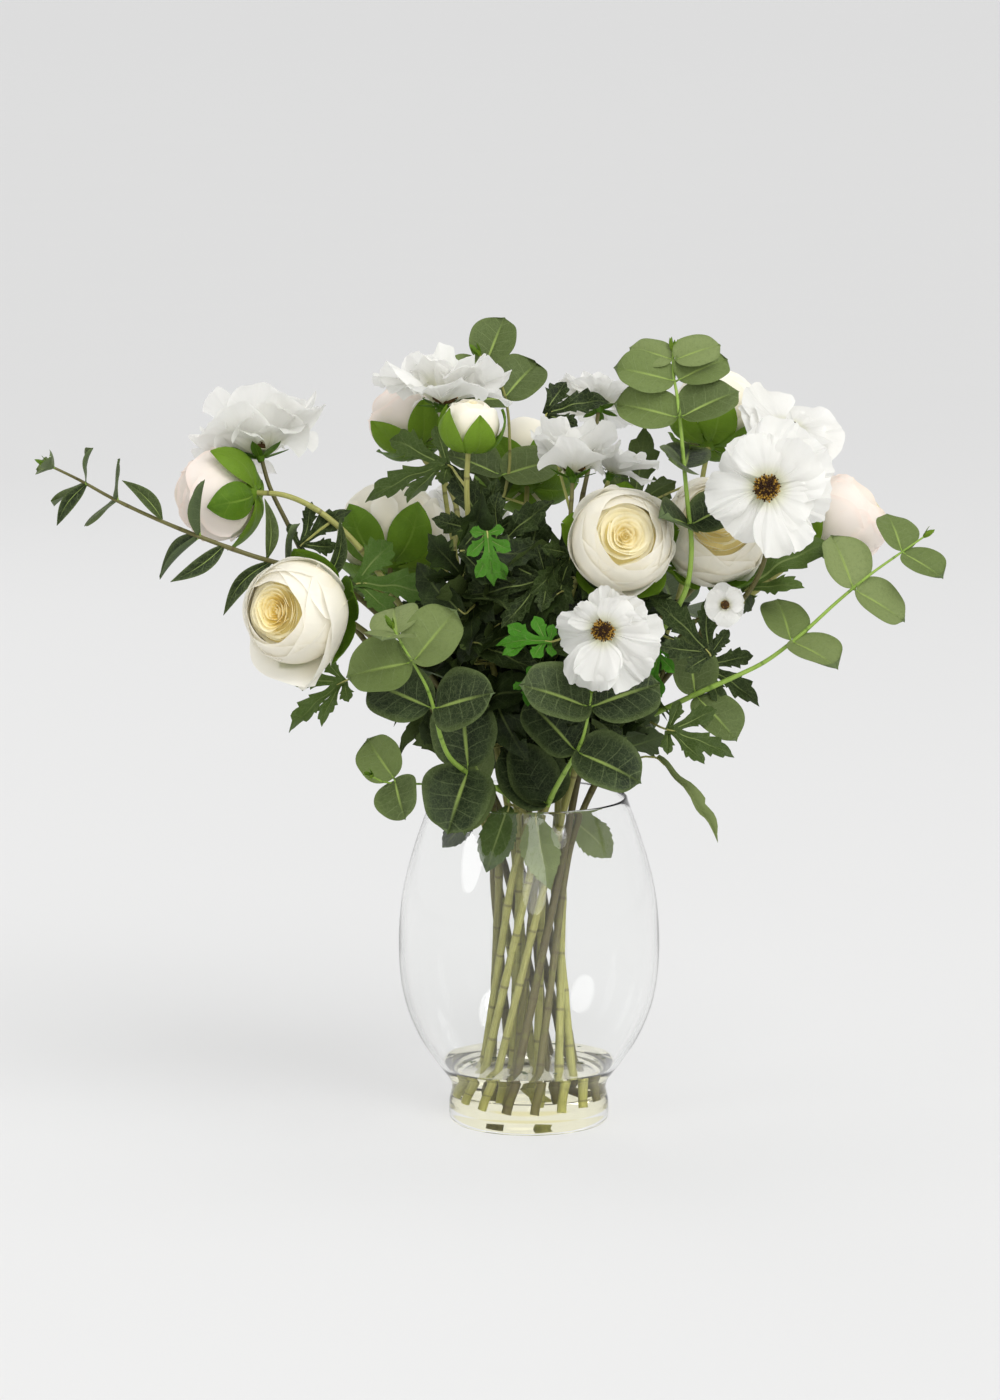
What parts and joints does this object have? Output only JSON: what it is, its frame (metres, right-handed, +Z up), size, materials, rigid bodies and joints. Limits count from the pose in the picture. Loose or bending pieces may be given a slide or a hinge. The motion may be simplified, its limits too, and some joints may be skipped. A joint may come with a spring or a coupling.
{
  "type": "floral table centerpiece",
  "caption": "Arrangement of cream ranunculus, white cosmos and round-leaved eucalyptus with cut leaves, in a footed bulbous clear glass vase with a shallow clear fill.",
  "frame": {"origin": "centre of the underside of the vase's foot", "axes": "+X to the viewer's right along the arrangement's long side, +Y away from the viewer, +Z up"},
  "size_m": [0.5427, 0.3005, 0.4896],
  "materials": {
    "vase_glass": "clear, polished",
    "water": "clear, faintly yellow",
    "ranunculus_cream": "soft matte",
    "ranunculus_blush": "soft matte",
    "cosmos_petal": "soft matte",
    "flower_button": "rough",
    "stem_and_leaf": "matte leaves on plastic stems",
    "eucalyptus_leaf": "matte, dusty"
  },
  "bodies": {
    "root": {"cosmos_a_button": "flower_button", "cosmos_a_petals": "cosmos_petal", "cosmos_a_stem": "stem_and_leaf", "cosmos_b_button": "flower_button", "cosmos_b_petals": "cosmos_petal", "cosmos_b_stem": "stem_and_leaf", "cosmos_c_button": "flower_button", "cosmos_c_petals": "cosmos_petal", "cosmos_c_stem": "stem_and_leaf", "cosmos_d_button": "flower_button", "cosmos_d_petals": "cosmos_petal", "cosmos_e_button": "flower_button", "cosmos_e_petals": "cosmos_petal", "cosmos_e_stem": "stem_and_leaf", "cosmos_f_button": "flower_button", "cosmos_f_petals": "cosmos_petal", "cosmos_f_stem": "stem_and_leaf", "cosmos_g_button": "flower_button", "cosmos_g_petals": "cosmos_petal", "cosmos_h_button": "flower_button", "cosmos_h_petals": "cosmos_petal", "cosmos_i_button": "flower_button", "cosmos_i_petals": "cosmos_petal", "cosmos_i_stem": "stem_and_leaf", "cosmos_j_button": "flower_button", "cosmos_j_petals": "cosmos_petal", "eucalyptus_a_stem": "eucalyptus_leaf", "eucalyptus_c_stem": "eucalyptus_leaf", "eucalyptus_d_stem": "eucalyptus_leaf", "eucalyptus_e_stem": "eucalyptus_leaf", "eucalyptus_g_stem": "eucalyptus_leaf", "eucalyptus_h_stem": "eucalyptus_leaf", "ranunculus_a_petals": "ranunculus_cream", "ranunculus_a_stem": "stem_and_leaf", "ranunculus_b_petals": "ranunculus_cream", "ranunculus_b_stem": "stem_and_leaf", "ranunculus_c_petals": "ranunculus_cream", "ranunculus_d_petals": "ranunculus_blush", "ranunculus_d_stem": "stem_and_leaf", "ranunculus_e_petals": "ranunculus_cream", "ranunculus_e_stem": "stem_and_leaf", "ranunculus_f_petals": "ranunculus_cream", "ranunculus_f_stem": "stem_and_leaf", "ranunculus_g_petals": "ranunculus_blush", "ranunculus_h_petals": "ranunculus_blush", "ranunculus_h_stem": "stem_and_leaf", "ranunculus_i_petals": "ranunculus_cream", "ranunculus_j_petals": "ranunculus_cream", "vase": "vase_glass", "water": "water"}
  },
  "joints": []
}
